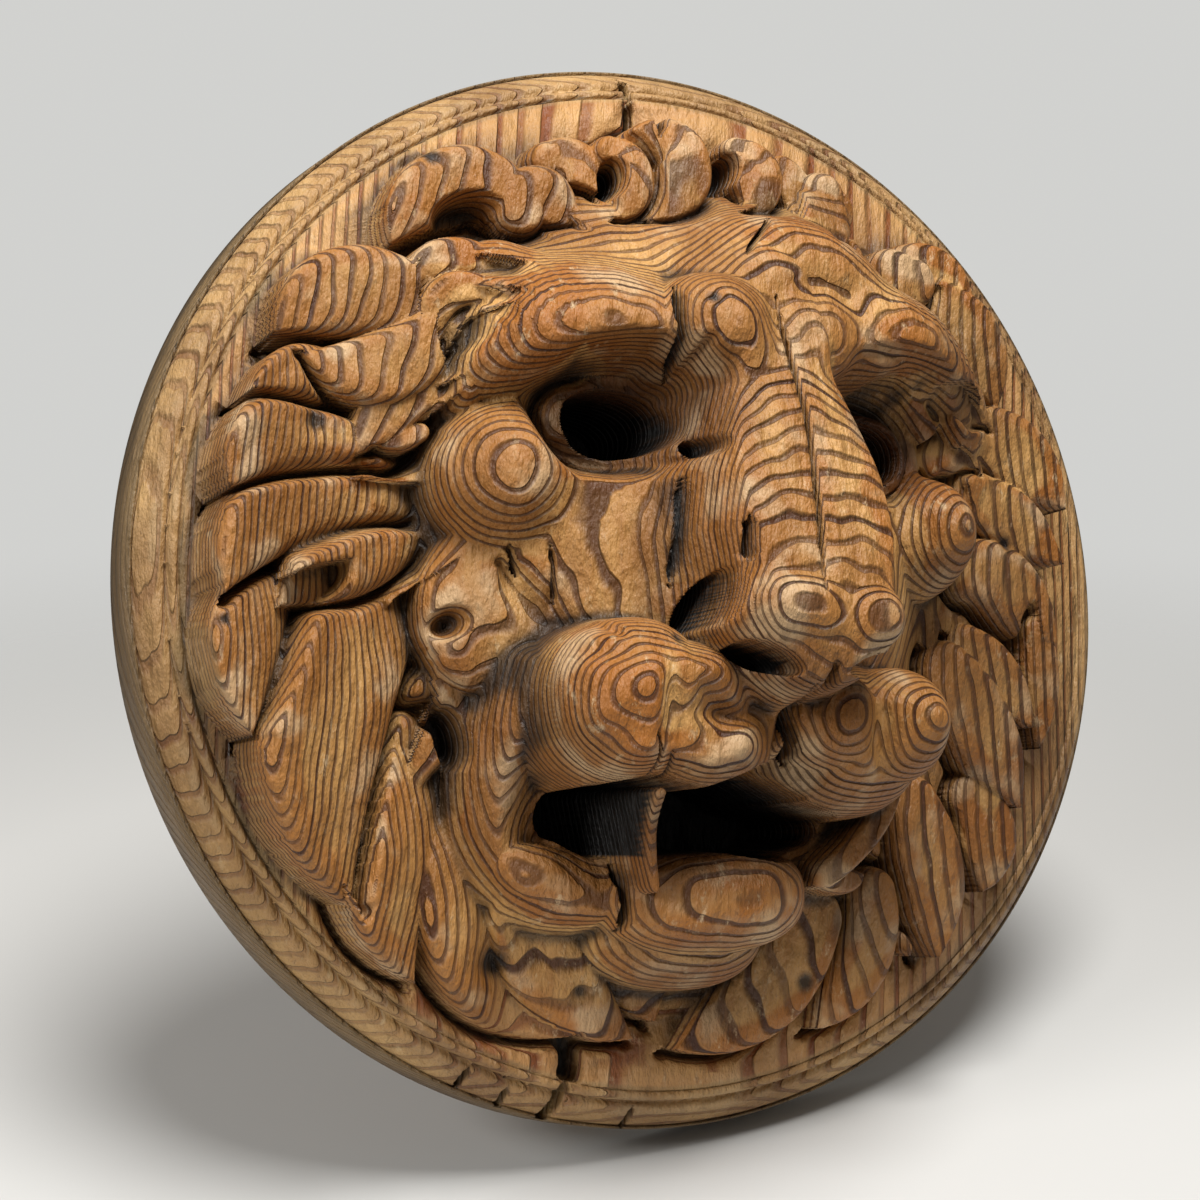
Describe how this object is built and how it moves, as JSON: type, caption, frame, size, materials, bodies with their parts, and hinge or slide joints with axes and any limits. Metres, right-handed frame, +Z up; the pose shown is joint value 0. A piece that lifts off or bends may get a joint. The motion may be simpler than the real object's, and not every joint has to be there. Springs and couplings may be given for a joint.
{
  "type": "lion mask wall plaque",
  "caption": "Round wall plaque carved from one softwood block: a lion's head with a full mane, deep-cut eyes and an open mouth, inside a moulded rim, with a flat back for a wall.",
  "frame": {"origin": "centre of the flat back, on the wall plane", "axes": "+Y into the wall, the lion looks along -Y; +Z up; +X to the viewer's right"},
  "size_m": [0.3, 0.113, 0.3],
  "materials": {
    "weathered_pine": "old hand-carved softwood, worn and waxed on its high places"
  },
  "bodies": {
    "root": {"lion_mask": "weathered_pine"}
  },
  "joints": []
}
